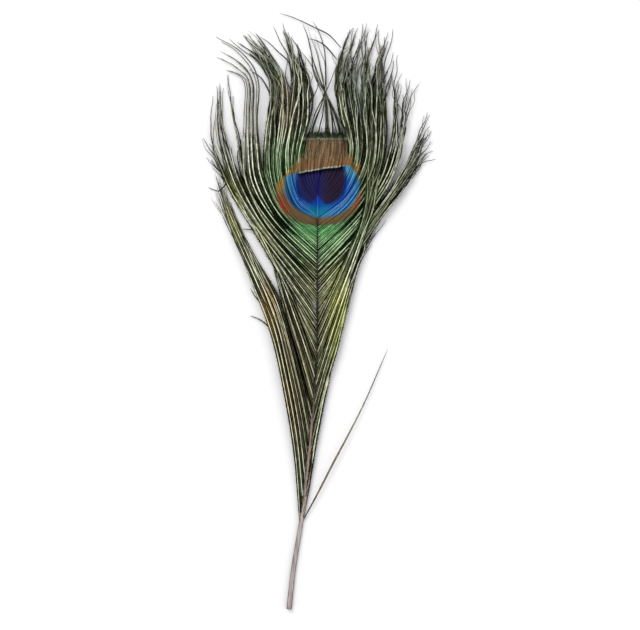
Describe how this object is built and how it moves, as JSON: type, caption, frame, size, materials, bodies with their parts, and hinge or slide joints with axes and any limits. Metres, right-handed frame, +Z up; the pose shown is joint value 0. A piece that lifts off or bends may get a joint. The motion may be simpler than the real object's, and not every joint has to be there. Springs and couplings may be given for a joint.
{
  "type": "peacock feather",
  "caption": "Peacock eye feather with a cut stem, lying flat: a slim shaft, a close-knit eye and long loose barbs in wispy tufts.",
  "frame": {"origin": "on the flat underside of the vane, below the middle of the eye", "axes": "+Y along the feather towards its tip, +X to the right as seen from above, +Z up out of the patterned face"},
  "size_m": [0.1138, 0.3002, 0.0059],
  "materials": {
    "feather": "olive-green barbs with pale ribs and a silky iridescent sheen; a blue and bronze eye; a smooth tan shaft"
  },
  "bodies": {
    "root": {"feather": "feather"}
  },
  "joints": []
}
